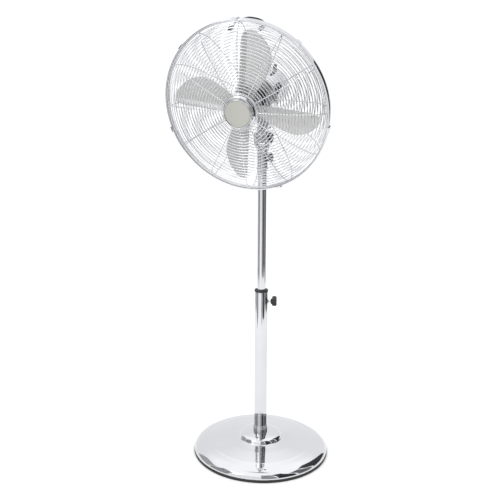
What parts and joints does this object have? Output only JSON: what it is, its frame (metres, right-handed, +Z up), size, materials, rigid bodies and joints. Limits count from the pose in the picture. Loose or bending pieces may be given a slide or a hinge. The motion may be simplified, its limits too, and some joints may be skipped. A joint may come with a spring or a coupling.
{
  "type": "pedestal fan",
  "caption": "Standing room fan with wire guards, metal blades, a tilting and swinging motor head, a telescopic pole and a round weighted base.",
  "frame": {"origin": "on the floor under the pole, at the centre of the base", "axes": "+Z up the pole, -Y the way the fan blows at rest, +X to the side of the hand knobs"},
  "size_m": [0.452, 0.396, 1.2492],
  "materials": {
    "chrome": "bright chrome plate",
    "steel": "plain zinc-plated steel",
    "silver_paint": "silver-grey paint, satin",
    "badge_silver": "warm silver paint, satin",
    "black_plastic": "moulded, fine grain",
    "black_rubber": "moulded rubber",
    "white_plastic": "moulded nylon",
    "copper": "enamelled winding wire",
    "bronze": "sintered bronze",
    "cast_alloy": "as cast",
    "cast_iron": "rough cast"
  },
  "bodies": {
    "base": {"base_cover": "chrome", "base_trim": "black_rubber", "base_weight": "cast_iron", "base_spacer": "steel", "base_bolt": "steel", "foot_plug": "cast_alloy", "socket_ring": "chrome", "outer_tube": "chrome", "guide_bushing": "white_plastic", "collar": "black_plastic", "clamp_nut": "chrome"},
    "height_clamp": {"height_knob": "black_plastic", "height_knob_stud": "steel"},
    "column": {"inner_tube": "chrome", "neck_fork": "chrome", "tilt_bolt": "steel"},
    "neck_clamp": {"neck_knob": "black_plastic", "neck_knob_stud": "steel"},
    "tilt_clamp": {"tilt_knob": "black_plastic"},
    "yoke": {"tilt_knuckle": "chrome", "oscillation_pin": "steel"},
    "head": {"motor_bracket": "cast_alloy", "motor_housing": "chrome", "cord_gland": "black_rubber", "motor_front_plate": "cast_alloy", "motor_rear_plate": "cast_alloy", "front_bearing": "bronze", "rear_bearing": "bronze", "stator_core": "steel", "winding_front": "copper", "winding_rear": "copper", "run_capacitor": "white_plastic", "speed_switch": "black_plastic", "gear_case": "cast_alloy", "front_guard": "chrome", "rear_guard": "chrome", "guard_nut": "black_plastic", "rim_band": "chrome", "badge_cap": "chrome", "badge_face": "badge_silver", "carry_handle": "black_plastic", "rim_clip_1": "chrome", "rim_clip_2": "chrome", "rim_clip_3": "chrome", "rim_clip_4": "chrome", "rim_clip_5": "chrome", "rim_clip_6": "chrome"},
    "rotating": {"motor_shaft": "steel", "rotor": "steel", "blade_hub": "silver_paint", "blade_1": "silver_paint", "blade_2": "silver_paint", "blade_3": "silver_paint", "blade_4": "silver_paint", "blade_nut": "black_plastic"},
    "gear": {"worm_wheel": "white_plastic"},
    "oscillation_button": {"oscillation_knob": "black_plastic"},
    "speed_dial": {"speed_knob": "black_plastic"}
  },
  "joints": [
    {"name": "height_slide", "type": "slide", "parent": "base", "child": "column", "axis": [0, 0, 1], "range_m": [-0.3, 0.02]},
    {"name": "height_knob_turn", "type": "hinge", "parent": "base", "child": "height_clamp", "pos_m": [0, 0, 0.467], "axis": [0.9455, 0.3256, 0], "range_deg": [0, 270]},
    {"name": "neck_knob_turn", "type": "hinge", "parent": "column", "child": "neck_clamp", "pos_m": [0, 0, 0.881], "axis": [1, 0, 0], "range_deg": [0, 180]},
    {"name": "tilt_knob_turn", "type": "hinge", "parent": "column", "child": "tilt_clamp", "pos_m": [0, 0, 0.936], "axis": [1, 0, 0], "range_deg": [0, 270]},
    {"name": "head_tilt", "type": "hinge", "parent": "column", "child": "yoke", "pos_m": [0, 0, 0.936], "axis": [1, 0, 0], "range_deg": [-40, 1]},
    {"name": "head_swing", "type": "hinge", "parent": "yoke", "child": "head", "pos_m": [0, 0.01455, 0.93963], "axis": [0, -0.2419, 0.9703], "range_deg": [-40, 40]},
    {"name": "blade_spin", "type": "hinge", "parent": "head", "child": "rotating", "pos_m": [0, -0.0277, 1.0471], "axis": [0, -0.9703, -0.2419], "continuous": true},
    {"name": "worm_wheel_spin", "type": "hinge", "parent": "head", "child": "gear", "pos_m": [0.0208, 0.04798, 1.06597], "axis": [0, -0.2419, 0.9703], "continuous": true},
    {"name": "oscillation_knob_pull", "type": "slide", "parent": "head", "child": "oscillation_button", "axis": [0, -0.2419, 0.9703], "range_m": [0, 0.008]},
    {"name": "speed_knob_turn", "type": "hinge", "parent": "head", "child": "speed_dial", "pos_m": [0, -0.0277, 1.0471], "axis": [0, -0.9703, -0.2419], "range_deg": [0, 135]}
  ],
  "couplings": [
    {"joint": "worm_wheel_spin", "follows": "blade_spin", "ratio": -0.041667}
  ]
}
